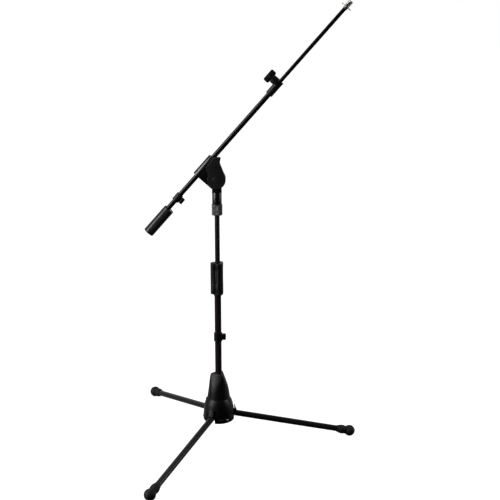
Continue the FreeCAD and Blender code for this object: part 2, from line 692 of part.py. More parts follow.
def innerBoom():
    keep(tube("innerTube - innerWall", "innerTube", "innerRear", "innerFront"), "inner_boom_tube", boomFrame)
    slide = "outerTube - outerWall - fitGap"
    threadStart = "ringRear + ringThickness + 0.4"
    keep(turned([
        (2, "innerRear - 10"), (slide, "innerRear - 10"), (slide, "innerRear"),
        ("innerTube - innerWall", "innerRear"),
        ("innerTube - innerWall", "innerRear + 12"), (2, "innerRear + 12"),
    ]), "inner_boom_guide", boomFrame)
    keep(turned([
        (0, "innerFront - 20"), ("innerTube - innerWall", "innerFront - 20"),
        ("innerTube - innerWall", "innerFront"),
        ("neckRadius", "innerFront"), ("neckRadius", threadStart), ("studRadius", threadStart),
        ("studRadius", "studFront - 1.5"), ("studRadius - 1.5", "studFront"), (0, "studFront"),
    ]), "tip_stud", boomFrame)
    ring = tube("neckRadius + freeGap", "ringRadius", "ringRear", "ringRear + ringThickness")
    keep(ring, "tip_lock_ring", boomFrame)


def cableClip(label, tubeRadius, along, frame):
    """A split collar on a tube, with an open hook beside it that a cable snaps into."""
    collar = rod(f"{tubeRadius} + clipWall", "clipHeight", z=f"{along} - clipHeight/2")
    hookPlace = f"{tubeRadius} + clipWall + 0.6*clipHook"
    hookLength = "0.7*clipHeight"
    hook = rod("clipHook", hookLength, x=hookPlace, z=f"{along} - ({hookLength})/2")
    cable = rod("clipCable", 60, x=hookPlace, z=f"{along} - 30")
    mouth = block(20, "clipMouth", 60, hookPlace, "-clipMouth/2", f"{along} - 30")
    split = block(20, 3, 60, f"-({tubeRadius}) - 20", -1.5, f"{along} - 30")
    grip = rod(f"{tubeRadius} + fitGap", 60, z=f"{along} - 30")
    keep(without(joined(collar, hook), cable, mouth, split, grip), label, frame)


# ---------------------------------------------------------------- the whole stand

baseSkirt()
baseUpperShell()
baseBottomPlate()
legHub()
hingePins()
baseScrews()
for index, side in enumerate(("right", "back", "front")):
    leg(side, size("legAzimuth") + 120 * index)
lowerColumn()
clutch()
upperColumn()
swivelHead()
cradle()
lockingLever()
outerBoom()
wingKnob()
innerBoom()
cableClip("column_cable_clip", "columnTube", "columnClip", columnFrame)
cableClip("boom_cable_clip", "outerTube", "boomClip", boomFrame)
doc.recompute()

# ---------------------------------------------------------------- checks and files

for thing in doc.Objects:
    if "Invalid" in thing.State or "Error" in thing.State:
        raise RuntimeError(f"{thing.Name} ({thing.Label}) failed: {thing.State}")
for thing in pieces:
    if thing.Shape.isNull() or not thing.Shape.isValid():
        raise RuntimeError(f"{thing.Label} has no valid shape")
for thing in pieces:
    thing.Shape.exportStep(f"parts/{thing.Label}.step")
    print(f"{thing.Label}: {len(thing.Shape.Solids)} solid(s), {thing.Shape.Volume / 1000:.1f} cm3")
print(f"{len(pieces)} pieces written")
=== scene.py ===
import json
import math

import bmesh
import bpy
from mathutils import Matrix, Vector


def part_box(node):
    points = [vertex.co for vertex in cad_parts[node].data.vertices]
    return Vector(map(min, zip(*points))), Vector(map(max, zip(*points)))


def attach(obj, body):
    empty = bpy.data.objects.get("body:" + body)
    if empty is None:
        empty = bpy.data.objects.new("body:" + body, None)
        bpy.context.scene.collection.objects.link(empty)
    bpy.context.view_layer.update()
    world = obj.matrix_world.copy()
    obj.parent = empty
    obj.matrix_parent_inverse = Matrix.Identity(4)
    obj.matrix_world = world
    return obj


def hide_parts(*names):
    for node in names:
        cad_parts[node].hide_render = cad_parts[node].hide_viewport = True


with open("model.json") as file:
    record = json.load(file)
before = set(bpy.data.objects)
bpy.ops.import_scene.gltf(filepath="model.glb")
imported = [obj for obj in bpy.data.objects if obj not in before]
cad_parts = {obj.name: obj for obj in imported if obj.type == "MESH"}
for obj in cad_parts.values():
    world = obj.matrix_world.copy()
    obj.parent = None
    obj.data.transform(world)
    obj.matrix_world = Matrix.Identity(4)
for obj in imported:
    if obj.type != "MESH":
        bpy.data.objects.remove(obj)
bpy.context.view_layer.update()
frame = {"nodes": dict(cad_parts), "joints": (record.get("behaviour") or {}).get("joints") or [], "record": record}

joints = {joint["name"]: joint for joint in frame["joints"]}
mounts = {mount["name"]: mount for mount in frame["record"]["mounts"]}
legSides = ("right", "back", "front")
firstHinge = joints["leg_right_fold"]["axis"]
legTurn = math.atan2(-firstHinge[0], firstHinge[1])
print("frame loaded")

# places, all from the frame: the column's axis, the boom's line and each leg
pivot = Vector(joints["boom_tilt"]["pos_m"])
alongBoom = Vector(joints["boom_length"]["axis"])
aboveBoom = Vector(joints["wing_knob_turn"]["axis"])
boomClipPlace = -0.127
boomStart = Vector(joints["boom_clip_turn"]["pos_m"]) - alongBoom * boomClipPlace


def frameFrom(origin, across, along):
    # a matrix whose X runs across and Z along
    side = along.cross(across).normalized()
    return Matrix.Translation(origin) @ Matrix((across, side, along)).transposed().to_4x4()


columnFrame = Matrix.Translation((pivot.x, pivot.y, 0))
pivotFrame = Matrix.Translation(pivot)
boomFrame = frameFrom(boomStart, -aboveBoom, alongBoom)


def legFrame(side):
    # Z runs from the ball's middle back towards the hinge
    hinge = Vector(joints[f"leg_{side}_fold"]["pos_m"])
    ball = Vector(mounts[f"floor_{side}_foot"]["pos_m"]) + Vector((0, 0, foot["height"]))
    along = (hinge - ball).normalized()
    across = Vector(joints[f"leg_{side}_fold"]["axis"])
    return frameFrom(ball, across, along)


# ---- finishes


class Wire:
    # a socket that Python arithmetic can use
    def __init__(self, finish, socket):
        self.finish = finish
        self.socket = socket

    def __add__(self, other):
        return self.finish.sum("ADD", self, other)

    def __sub__(self, other):
        return self.finish.sum("SUBTRACT", self, other)

    def __rsub__(self, other):
        return self.finish.sum("SUBTRACT", other, self)

    def __mul__(self, other):
        return self.finish.sum("MULTIPLY", self, other)

    def __truediv__(self, other):
        return self.finish.sum("DIVIDE", self, other)

    def __pow__(self, other):
        return self.finish.sum("POWER", self, other)

    __radd__ = __add__
    __rmul__ = __mul__


class Finish:
    def __init__(self, name):
        self.material = bpy.data.materials.new(name)
        self.material.use_nodes = True
        self.tree = self.material.node_tree
        self.tree.nodes.clear()
        self.place = self.node("ShaderNodeTexCoord", out="Object")

    def node(self, kind, settings=None, inputs=None, out=0):
        made = self.tree.nodes.new(kind)
        for key, value in (settings or {}).items():
            if key == "stops":
                ramp = made.color_ramp.elements
                while len(ramp) < len(value):
                    ramp.new(0.5)
                for stop, (position, shade) in zip(ramp, value):
                    stop.position = position
                    stop.color = (shade, shade, shade, 1)
            else:
                setattr(made, key, value)
        for key, value in (inputs or {}).items():
            if isinstance(value, Wire):
                self.tree.links.new(value.socket, made.inputs[key])
            else:
                made.inputs[key].default_value = value
        return Wire(self, made.outputs[out]) if made.outputs else made

    def sum(self, operation, first, second):
        return self.node("ShaderNodeMath", {"operation": operation}, {0: first, 1: second})

    def stretched(self, scale, turn=(0, 0, 0)):
        return self.node("ShaderNodeMapping", inputs={"Vector": self.place, "Scale": scale, "Rotation": turn})

    def noise(self, scale, detail=4, place=None, rough=0.55):
        inputs = {"Vector": place or self.place, "Scale": scale, "Detail": detail, "Roughness": rough}
        return self.node("ShaderNodeTexNoise", {"noise_dimensions": "3D"}, inputs)

    def cells(self, scale, place=None, feature="F1"):
        inputs = {"Vector": place or self.place, "Scale": scale}
        return self.node("ShaderNodeTexVoronoi", {"feature": feature}, inputs)

    def ramp(self, value, *stops):
        return self.node("ShaderNodeValToRGB", {"stops": stops}, {"Fac": value})

    def blend(self, mask, first, second):
        # a mix of two colours; the first may come from other nodes
        first = first if isinstance(first, Wire) else (*first, 1)
        return self.node("ShaderNodeMix", {"data_type": "RGBA"}, {0: mask, 6: first, 7: (*second, 1)}, out=2)

    def bump(self, height, strength, distance):
        return self.node(
            "ShaderNodeBump", inputs={"Height": height, "Strength": strength, "Distance": distance})

    def done(self, colour, roughness, normal, metallic=0.0, specular=0.25):
        inputs = {"Base Color": colour, "Roughness": roughness, "Normal": normal, "Metallic": metallic,
                  "Specular IOR Level": specular}
        shader = self.node("ShaderNodeBsdfPrincipled", inputs=inputs)
        self.node("ShaderNodeOutputMaterial", inputs={"Surface": shader})
        return self.material


def mouldedPlastic(name, look):
    # fine spark-eroded grain, faint flow marks, and rubbed patches that shine a little more
    finish = Finish(name)
    grain = finish.cells(look["grain"])
    flow = finish.noise(9, 3, finish.stretched((1, 1, 3)))
    rubbed = finish.ramp(finish.noise(22, 5), (0.46, 0), (0.68, 1))
    dust = finish.ramp(finish.noise(70, 6, rough=0.7), (0.5, 0), (0.85, 1))
    colour = finish.blend(flow, look["dark"], look["light"])
    colour = finish.blend(dust * look["dust"], colour, (0.1, 0.095, 0.09))
    roughness = look["rough"] + flow * 0.06 - rubbed * look["rubbed"] + dust * 0.08
    streaks = finish.noise(260, 2, finish.stretched((1, 1, 0.06), (0.5, 0.2, 0)))
    scratches = finish.ramp(streaks, (0.62, 0), (0.7, 1))
    height = grain * look["depth"] - scratches * 0.12 + flow * 0.4
    return finish.done(colour, roughness, finish.bump(height, 0.35, 0.0003))


def powderCoat(name, look):
    # orange peel, long sliding scuffs and a few specks
    finish = Finish(name)
    peel = finish.noise(look["peel"], 3)
    streaks = finish.noise(420, 3, finish.stretched(look["grain"], look["turn"]))
    scuff = finish.ramp(streaks, (0.56, 0), (0.74, 1))
    cloud = finish.noise(14, 4)
    specks = finish.ramp(finish.cells(520), (0.0, 1), (0.07, 0))
    colour = finish.blend(cloud, look["dark"], look["light"])
    colour = finish.blend(scuff * look["scuff"], colour, (0.07, 0.06, 0.055))
    roughness = look["rough"] + cloud * 0.1 - 0.05 + scuff * 0.12 + specks * 0.1
    height = peel + scuff * -0.3 + specks * 0.3
    return finish.done(colour, roughness, finish.bump(height, 0.3, 0.0002))


def castPaint(name, look):
    # crackled paint over a die casting, with chips where the metal shows
    finish = Finish(name)
    crackle = finish.cells(look["crackle"], feature="SMOOTH_F1")
    rough = finish.noise(300, 6, rough=0.65)
    chips = finish.ramp(finish.noise(95, 7, rough=0.75), (look["chips"], 0), (look["chips"] + 0.03, 1))
    cloud = finish.noise(18, 4)
    colour = finish.blend(cloud, look["dark"], look["light"])
    colour = finish.blend(chips, colour, (0.2, 0.19, 0.18))
    roughness = look["rough"] + cloud * 0.12 - chips * 0.12
    height = crackle * 0.8 + rough * 0.5 - chips * 0.6
    return finish.done(
        colour, roughness, finish.bump(height, 0.4, 0.0004), metallic=chips * 0.8, specular=look["shine"])


def metalFinish(name, look):
    # plated or satin metal: turning marks round the axis, tarnish and handling marks
    finish = Finish(name)
    turning = finish.noise(900, 2, finish.stretched(look["grain"], look["turn"]))
    tarnish = finish.noise(60, 6, rough=0.65)
    colour = finish.blend(tarnish, look["dark"], look["light"])
    marks = finish.ramp(finish.noise(240, 6, rough=0.7), (0.58, 0), (0.75, 1))
    roughness = look["rough"] + tarnish * 0.14 + turning * 0.08 + marks * 0.1
    return finish.done(colour, roughness, finish.bump(turning + marks * 0.4, 0.25, 0.0002), metallic=1.0)


def softRubber(name, look):
    # matt rubber with a dusty bloom low down
    finish = Finish(name)
    pores = finish.noise(1400, 5, rough=0.7)
    bloom = finish.ramp(finish.noise(45, 5, rough=0.65), (0.42, 0), (0.8, 1))
    colour = finish.blend(bloom, look["dark"], look["light"])
    roughness = look["rough"] + bloom * 0.15 + pores * 0.08
    return finish.done(colour, roughness, finish.bump(pores + bloom * 0.5, 0.4, 0.0003), specular=0.2)


boomTurn = (0, math.atan2(alongBoom.x, alongBoom.z), 0)
finishes = {
    "base_plastic": mouldedPlastic("baseMoulding", {
        "grain": 2600, "depth": 0.25, "dark": (0.001, 0.001, 0.001), "light": (0.0025, 0.0025, 0.0025),
        "dust": 0.02, "rough": 0.4, "rubbed": 0.05}),
    "knuckle_plastic": mouldedPlastic("knuckleMoulding", {
        "grain": 1900, "depth": 0.7, "dark": (0.001, 0.001, 0.001), "light": (0.003, 0.003, 0.003),
        "dust": 0.03, "rough": 0.46, "rubbed": 0.1}),
    "grip_plastic": mouldedPlastic("gripMoulding", {
        "grain": 1500, "depth": 0.9, "dark": (0.002, 0.002, 0.002), "light": (0.005, 0.005, 0.005),
        "dust": 0.03, "rough": 0.42, "rubbed": 0.1}),
    "clip_plastic": mouldedPlastic("clipMoulding", {
        "grain": 2200, "depth": 0.6, "dark": (0.0015, 0.0015, 0.0015), "light": (0.0035, 0.0035, 0.0035),
        "dust": 0.03, "rough": 0.36, "rubbed": 0.08}),
    "inner_plastic": mouldedPlastic("naturalNylon", {
        "grain": 2200, "depth": 0.4, "dark": (0.5, 0.49, 0.45), "light": (0.66, 0.64, 0.6),
        "dust": 0.1, "rough": 0.42, "rubbed": 0.05}),
    "black_tube": powderCoat("columnPowder", {
        "peel": 900, "grain": (1, 1, 0.05), "turn": (0, 0, 0), "dark": (0.009, 0.006, 0.0058),
        "light": (0.017, 0.0115, 0.011), "scuff": 0.12, "rough": 0.22}),
    "foot_rubber": softRubber("footRubber", {
        "dark": (0.006, 0.006, 0.006), "light": (0.02, 0.0194, 0.0188), "rough": 0.45}),
    "cast_swivel": castPaint("castBlack", {
        "crackle": 900, "chips": 0.74, "dark": (0.001, 0.001, 0.001), "light": (0.003, 0.003, 0.003),
        "rough": 0.26, "shine": 0.6}),
    "cast_lever": castPaint("castLever", {
        "crackle": 1100, "chips": 0.71, "dark": (0.007, 0.0065, 0.0067), "light": (0.019, 0.018, 0.0185),
        "rough": 0.34, "shine": 0.3}),
    "satin_nut": metalFinish("satinNut", {
        "grain": (1, 1, 0.1), "turn": (0, 0, 0), "dark": (0.1, 0.096, 0.098),
        "light": (0.17, 0.164, 0.167), "rough": 0.32}),
    "plated_steel": metalFinish("nickelPlate", {
        "grain": (1, 1, 8), "turn": boomTurn, "dark": (0.52, 0.51, 0.49), "light": (0.7, 0.69, 0.67),
        "rough": 0.16}),
    "small_screws": metalFinish("darkZinc", {
        "grain": (1, 1, 1), "turn": (0, 0, 0), "dark": (0.08, 0.08, 0.08), "light": (0.16, 0.16, 0.16),
        "rough": 0.3}),
}
boomPowder = powderCoat("boomPowder", {
    "peel": 900, "grain": (1, 1, 0.05), "turn": boomTurn, "dark": (0.0012, 0.0012, 0.0012),
    "light": (0.003, 0.003, 0.003), "scuff": 0.1, "rough": 0.22})
legPowder = powderCoat("legPowder", {
    "peel": 900, "grain": (1, 1, 0.05), "turn": (math.pi / 2, 0, 0), "dark": (0.004, 0.004, 0.004),
    "light": (0.01, 0.0098, 0.0098), "scuff": 0.12, "rough": 0.26})
weightPowder = powderCoat("weightPowder", {
    "peel": 700, "grain": (1, 1, 0.05), "turn": boomTurn, "dark": (0.009, 0.009, 0.009),
    "light": (0.02, 0.0195, 0.0195), "scuff": 0.15, "rough": 0.3})
slotOf = {part["node"]: part["material_slot"] for part in frame["record"]["subparts"]}
bodyOf = {node: body for body, nodes in frame["record"]["behaviour"]["bodies"].items() for node in nodes}
print("finishes made")

# ---- ways to make a piece


def settle(name, bm, node, place=None, finish=None, sharp=38):
    # closes the mesh, puts it in the frame and lets it stand for the node
    bmesh.ops.remove_doubles(bm, verts=bm.verts, dist=0.000002)
    bmesh.ops.dissolve_degenerate(bm, edges=bm.edges, dist=0.000001)
    bmesh.ops.recalc_face_normals(bm, faces=bm.faces)
    if place is not None:
        bm.transform(place)
    for face in bm.faces:
        face.smooth = True
    mesh = bpy.data.meshes.new(name)
    bm.to_mesh(mesh)
    bm.free()
    mesh.set_sharp_from_angle(angle=math.radians(sharp))
    piece = bpy.data.objects.new(name, mesh)
    bpy.context.scene.collection.objects.link(piece)
    mesh.materials.append(finish or finishes[slotOf[node]])
    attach(piece, bodyOf[node])
    return piece


def standIn(name, bm, node, place=None, finish=None, sharp=38):
    piece = settle(name, bm, node, place, finish, sharp)
    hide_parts(node)
    return piece


def roundEdges(bm, width, segments=2, above=35, chosen=None):
    edges = [
        edge for edge in bm.edges
        if len(edge.link_faces) == 2 and edge.calc_face_angle(0) > math.radians(above)
        and (chosen is None or chosen(edge))
    ]
    bmesh.ops.bevel(
        bm, geom=edges, offset=width, offset_type="OFFSET", segments=segments, profile=0.5, affect="EDGES",
        clamp_overlap=True, material=-1)


def softened(node, width, finish=None, above=35):
    # the node's own shape, merged, with its hard edges rounded
    bm = bmesh.new()
    bm.from_mesh(frame["nodes"][node].data)
    bmesh.ops.remove_doubles(bm, verts=bm.verts, dist=0.000002)
    bmesh.ops.dissolve_limit(bm, angle_limit=math.radians(1), verts=bm.verts, edges=bm.edges)
    if width:
        roundEdges(bm, width, above=above)
    return standIn(f"{node}_rounded", bm, node, finish=finish)


def turnedShape(profile, segments=64):
    # a half section of (radius, height) spun into a closed solid
    bm = bmesh.new()
    points = [bm.verts.new((radius, 0, height)) for radius, height in profile]
    rim = [bm.edges.new(pair) for pair in zip(points, points[1:] + points[:1])]
    bmesh.ops.spin(
        bm, geom=points + rim, cent=(0, 0, 0), axis=(0, 0, 1), dvec=(0, 0, 0), angle=math.tau, steps=segments,
        use_merge=True, use_duplicate=False)
    bmesh.ops.remove_doubles(bm, verts=bm.verts, dist=0.000002)
    bmesh.ops.dissolve_degenerate(bm, edges=bm.edges, dist=0.000001)
    loose = [edge for edge in bm.edges if not edge.link_faces]
    bmesh.ops.delete(bm, geom=loose, context="EDGES")
    return bm


def wrappedWall(bm, segments, heights, radiusAt):
    # a grid rolled into a wall whose radius follows angle and height; gives its two end loops
    levels = len(heights)
    made = bmesh.ops.create_grid(bm, x_segments=segments, y_segments=levels - 1, size=0.5)["verts"]
    ends = ([], [])
    for vert in made:
        angle = (vert.co.x + 0.5) * math.tau
        level = round((vert.co.y + 0.5) * (levels - 1))
        height = heights[level]
        radius = radiusAt(angle, height)
        vert.co = (radius * math.cos(angle), radius * math.sin(angle), height)
        if level in (0, levels - 1):
            ends[level > 0].append(vert)
    bmesh.ops.remove_doubles(bm, verts=made, dist=0.0000005)
    return [[vert for vert in end if vert.is_valid] for end in ends]


def loopEdges(loop):
    inside = set(loop)
    return list({edge for vert in loop for edge in vert.link_edges if edge.other_vert(vert) in inside})


def wrappedShape(segments, heights, radiusAt, bore=None):
    # a rolled wall closed at both ends, or joined to a bore through it
    bm = bmesh.new()
    outer = wrappedWall(bm, segments, heights, radiusAt)
    if bore is None:
        for loop in outer:
            bmesh.ops.edgeloop_fill(bm, edges=loopEdges(loop))
        return bm
    inner = wrappedWall(bm, segments, (heights[0], heights[-1]), lambda angle, height: bore)
    for outerLoop, innerLoop in zip(outer, inner):
        bmesh.ops.bridge_loops(bm, edges=loopEdges(outerLoop) + loopEdges(innerLoop))
    return bm


def steps(low, high, count):
    return [low + (high - low) * index / count for index in range(count + 1)]


def boxShape(bm, low, high):
    # a box between two corners, added to the mesh
    size = [top - bottom for bottom, top in zip(low, high)]
    middle = [(top + bottom) / 2 for bottom, top in zip(low, high)]
    place = Matrix.Translation(middle) @ Matrix.Diagonal((*size, 1))
    return bmesh.ops.create_cube(bm, size=1, matrix=place)["verts"]


# ---- feet

foot = {
    "height": 0.018, "ball": 0.0185, "rings": 5, "ringDepth": 0.0009, "neck": 0.0128, "sleeve": 0.0147,
    "lip": 0.0112, "socket": 0.01005, "socketStart": 0.02, "length": 0.045,
}


def footProfile():
    profile = [(0, -foot["ball"])]
    last = math.radians(132)
    count = 66
    for index in range(1, count + 1):
        turn = last * index / count
        groove = max(0, math.cos(turn / last * math.tau * foot["rings"])) ** 6
        radius = foot["ball"] - foot["ringDepth"] * groove * min(1, turn * 2)
        profile.append((radius * math.sin(turn), -radius * math.cos(turn)))
    sleeveStart = foot["ball"] * 0.82
    ribs = 4
    for index in range(25):
        share = index / 24
        along = sleeveStart + (foot["length"] - sleeveStart) * share
        swell = math.sin(math.pi * min(1, share * 1.25)) ** 0.7
        body = foot["neck"] + (foot["sleeve"] - foot["neck"]) * swell
        fall = max(0, share - 0.7) / 0.3
        body = body * (1 - fall) + foot["lip"] * fall
        rib = 0.0005 * math.cos(share * math.tau * ribs)
        profile.append((body + rib * (1 - fall), along))
    profile += [(foot["lip"] - 0.0004, foot["length"] + 0.0004), (foot["socket"], foot["length"] + 0.0004)]
    profile += [(foot["socket"], foot["socketStart"]), (0, foot["socketStart"])]
    return profile


for side in legSides:
    bm = turnedShape(footProfile(), 72)
    bm.transform(legFrame(side))
    cut = bmesh.ops.bisect_plane(
        bm, geom=bm.verts[:] + bm.edges[:] + bm.faces[:], plane_co=(0, 0, 0.0001), plane_no=(0, 0, -1),
        clear_outer=True)
    rim = [item for item in cut["geom_cut"] if isinstance(item, bmesh.types.BMEdge)]
    if rim:
        bmesh.ops.edgeloop_fill(bm, edges=rim)
    standIn(f"foot_{side}_ribbed", bm, f"foot_{side}")
print("feet made")

# ---- legs and base

for side in legSides:
    softened(f"leg_tube_{side}", 0, finish=legPowder)
    softened(f"leg_knuckle_{side}", 0.0004)
softened("leg_hinge_pins", 0.0004)
softened("leg_hub", 0.0008)
softened("base_bottom_plate", 0.0005)
softened("base_skirt", 0.0007)

shell = {
    "outer": ((0.157, 0.038), (0.194, 0.0327), (0.230, 0.0284), (0.2425, 0.0264)),
    "inner": ((0.013, 0.242), (0.013, 0.234), (0.0155, 0.234), (0.0265, 0.194), (0.0313, 0.157),
              (0.0313, 0.149)),
    "lip": 0.0343, "lipLow": 0.149, "low": 0.157, "high": 0.2404, "round": 0.2416, "top": 0.242, "rings": 30,
    "groove": 0.2376, "grooveDeep": 0.0006, "flat": 0.016, "lean": 19.3, "bulge": 0.08, "soft": 0.0035,
    "skin": 0.002,
}


def shellRadius(height):
    # the cone's radius before its flats are taken off
    for (low, wide), (high, narrow) in zip(shell["outer"], shell["outer"][1:]):
        if height <= high:
            return wide + (narrow - wide) * (height - low) / (high - low)
    return shell["outer"][-1][1]


def flatRadius(angle, height):
    # the gently bulging flat above the nearest leg, as a distance from the column's axis
    away = (angle - legTurn + math.pi / 3) % (math.tau / 3) - math.pi / 3
    reach = shell["flat"] + (shell["top"] - height) * math.tan(math.radians(shell["lean"]))
    bend = math.sin(away) ** 2 / (2 * shell["bulge"])
    if bend < 0.001:
        return reach / math.cos(away)
    return (math.sqrt(math.cos(away) ** 2 + 4 * bend * reach) - math.cos(away)) / (2 * bend)


def shellShape():
    # the cone with a fine groove near its top, its three flats blended in
    step = (shell["high"] - shell["low"]) / shell["rings"]
    heights = [shell["low"] + step * index for index in range(shell["rings"] + 1)]
    heights = [height for height in heights if abs(height - shell["groove"]) > 0.0012]
    outer = [(shellRadius(height), height) for height in heights]
    for rise, deep in ((-0.0008, 0), (-0.0004, 1), (0.0004, 1), (0.0008, 0)):
        height = shell["groove"] + rise
        outer.append((shellRadius(height) - shell["grooveDeep"] * deep, height))
    outer.sort(key=lambda point: point[1])
    lip = [(shell["lip"], shell["lipLow"]), (shell["lip"], shell["low"])]
    outer.append((shellRadius(shell["round"]) - 0.0005, shell["round"]))
    outer.append((shellRadius(shell["top"]) - 0.0014, shell["top"]))
    bm = turnedShape(lip + outer + list(shell["inner"]), 192)
    for vert in bm.verts:
        across = math.hypot(vert.co.x, vert.co.y)
        full = shellRadius(vert.co.z)
        if vert.co.z > shell["low"] - 0.00001 and across > full - shell["skin"]:
            limit = flatRadius(math.atan2(vert.co.y, vert.co.x), vert.co.z)
            near = max(shell["soft"] - abs(full - limit), 0) / shell["soft"]
            kept = min(full, limit) - near * near * shell["soft"] / 4
            vert.co.xy *= (across - full + kept) / across
    return bm


standIn("base_cone", shellShape(), "base_upper_shell", columnFrame)

rim = {"low": 0.0845, "high": 0.0955, "radius": 0.0515, "ribs": 84, "depth": 0.0006, "slotHalf": 0.0118}


def rimRibs():
    # small upright ribs round the base's rim, left out at the leg slots and at the screws
    bm = bmesh.new()
    for index in range(rim["ribs"]):
        angle = math.tau * index / rim["ribs"]
        toLeg = (angle + math.pi / 3) % (math.tau / 3) - math.pi / 3
        toScrew = (angle + math.tau / 3) % (math.tau / 3) - math.pi / 3
        if abs(toLeg) * rim["radius"] < rim["slotHalf"] + 0.001 or abs(toScrew) * rim["radius"] < 0.0055:
            continue
        inside, outside = rim["radius"] - 0.0008, rim["radius"] + rim["depth"]
        corners = boxShape(bm, (inside, -0.0009, rim["low"]), (outside, 0.0009, rim["high"]))
        bmesh.ops.rotate(bm, verts=corners, cent=(0, 0, 0), matrix=Matrix.Rotation(angle + legTurn, 3, "Z"))
    roundEdges(bm, 0.0004, segments=1)
    return bm


settle("base_rim_ribs", rimRibs(), "base_bottom_plate", columnFrame)

screw = {"seamHead": 0.004, "rimHead": 0.00335, "headTall": 0.0022, "socket": 0.0017, "socketDeep": 0.0013}


def screwShape(head, shank):
    # a pan head with a hexagon socket, its shank behind it; Z points out of the head
    tall = screw["headTall"]
    bm = turnedShape([
        (0, -shank), (0.0029, -shank), (0.0029, 0), (head, 0), (head, tall * 0.35),
        (head * 0.93, tall * 0.72), (head * 0.72, tall * 0.95), (head * 0.5, tall), (0, tall),
    ], 36)
    top = [face for face in bm.faces if face.calc_center_median().z > tall * 0.985]
    bmesh.ops.dissolve_faces(bm, faces=top, use_verts=False)
    top = max(bm.faces, key=lambda face: face.calc_center_median().z)
    bmesh.ops.inset_region(bm, faces=[top], thickness=head * 0.5 - screw["socket"], use_even_offset=True)
    bmesh.ops.translate(bm, verts=top.verts, vec=(0, 0, -screw["socketDeep"]))
    return bm


def screwSet(name, node, head, finish, height, radius, tilt):
    # three screws between the legs, in one mesh
    whole = bmesh.new()
    for index in range(3):
        one = screwShape(head, 0.008)
        turn = Matrix.Rotation(legTurn + math.tau / 3 * (index + 0.5), 4, "Z")
        tip = Matrix.Rotation(math.pi / 2 - math.radians(tilt), 4, "Y")
        one.transform(turn @ Matrix.Translation((radius, 0, height)) @ tip)
        mesh = bpy.data.meshes.new("oneScrew")
        one.to_mesh(mesh)
        one.free()
        whole.from_mesh(mesh)
        bpy.data.meshes.remove(mesh)
    standIn(name, whole, node, columnFrame, finish=finish)


screwSet("seam_screws", "base_seam_screws", screw["seamHead"], None, 0.153, 0.0404, 24)
screwSet("rim_screws", "base_rim_screws", screw["rimHead"], finishes["plated_steel"], 0.091, 0.0514, 0)
print("legs and base made")

# ---- column

softened("lower_column_tube", 0)
softened("upper_column_tube", 0)
softened("column_bushing", 0.0004)
softened("clutch_collar", 0.0003)
softened("clutch_body", 0.0004)
softened("clutch_collet", 0.0003)
softened("upper_tube_guide", 0.0003)

grip = {
    "flat": 0.0182, "round": 0.0133, "topBore": 0.0087, "edge": 0.0016, "band": 0.016,
    "bandCut": 0.0008, "notches": 30, "scoop": 0.0016, "scoopLow": 0.034, "scoopHigh": 0.09,
}
gripLow, gripHigh = (corner.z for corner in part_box("clutch_grip"))


def gripRadius(angle, height):
    # three flats joined by round lobes, a scoop in each flat and a notched band below
    toFlat = (angle + math.pi / 3) % (math.tau / 3) - math.pi / 3
    lobeCentre = 2 * (grip["flat"] - grip["round"])
    toLobe = math.pi / 3 - abs(toFlat)
    onFlat = grip["flat"] / math.cos(toFlat)
    reach = lobeCentre * math.sin(toLobe)
    onLobe = lobeCentre * math.cos(toLobe) + math.sqrt(max(0, grip["round"] ** 2 - reach ** 2))
    radius = min(onFlat, onLobe)
    rise = height - gripLow
    ends = min(rise, gripHigh - height)
    if ends < grip["edge"]:
        radius -= grip["edge"] - math.sqrt(grip["edge"] ** 2 - (grip["edge"] - ends) ** 2)
    if rise < grip["band"]:
        tooth = max(0, math.cos(angle * grip["notches"]))
        radius -= grip["bandCut"] * (tooth ** 0.5 if rise > grip["edge"] else 0)
    elif rise < grip["band"] + 0.0012:
        radius -= grip["bandCut"] * 1.2
    inScoop = (rise - grip["scoopLow"]) / (grip["scoopHigh"] - grip["scoopLow"])
    if 0 < inScoop < 1:
        across = max(0, 1 - (toFlat / 0.62) ** 2)
        radius -= grip["scoop"] * across * math.sin(math.pi * inScoop) ** 0.35
    return radius


gripHeights = [gripLow + rise for rise in (
    0, 0.0002, 0.0005, 0.001, 0.0016, 0.0022, 0.015, 0.0159, 0.0161, 0.0171, 0.0173, 0.0185)]
gripHeights += steps(gripLow + 0.0335, gripLow + 0.0905, 38)
gripHeights += [gripHigh - fall for fall in (0.0018, 0.0016, 0.001, 0.0005, 0.0002, 0)]
bm = wrappedShape(240, gripHeights, gripRadius, bore=grip["topBore"])
standIn("clutch_grip_lobed", bm, "clutch_grip", columnFrame)

nut = {"teeth": 44, "depth": 0.0007, "edge": 0.0016, "bore": 0.0083}
nutLow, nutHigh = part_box("ring_nut")
nutRadius = (nutHigh.x - nutLow.x) / 2


def nutWall(angle, height):
    # straight knurl between two smooth bevelled lands
    ends = min(height - nutLow.z, nutHigh.z - height)
    land = nutRadius - max(0, nut["edge"] - ends)
    if ends < nut["edge"] * 1.9:
        return land
    tooth = abs((angle * nut["teeth"] / math.tau) % 1 - 0.5) * 2
    return nutRadius - nut["depth"] * min(1, tooth * 1.4)


nutHeights = [nutLow.z + rise for rise in (0, 0.0016, 0.003, 0.0031, 0.0164, 0.0165, 0.0172, 0.0173)]
nutHeights += [nutHigh.z - fall for fall in (0.0031, 0.003, 0.0016, 0)]


def nutSurface(angle, height):
    # a plain groove round the middle parts the knurl in two
    rise = height - nutLow.z
    if 0.01645 < rise < 0.01725:
        return nutRadius - nut["depth"] * 1.4
    return nutWall(angle, height)


bm = wrappedShape(nut["teeth"] * 6, nutHeights, nutSurface, bore=nut["bore"])
standIn("ring_nut_knurled", bm, "ring_nut", columnFrame)

thread = {"radius": 0.0079, "pitch": 0.00094, "depth": 0.00055, "perTurn": 6}


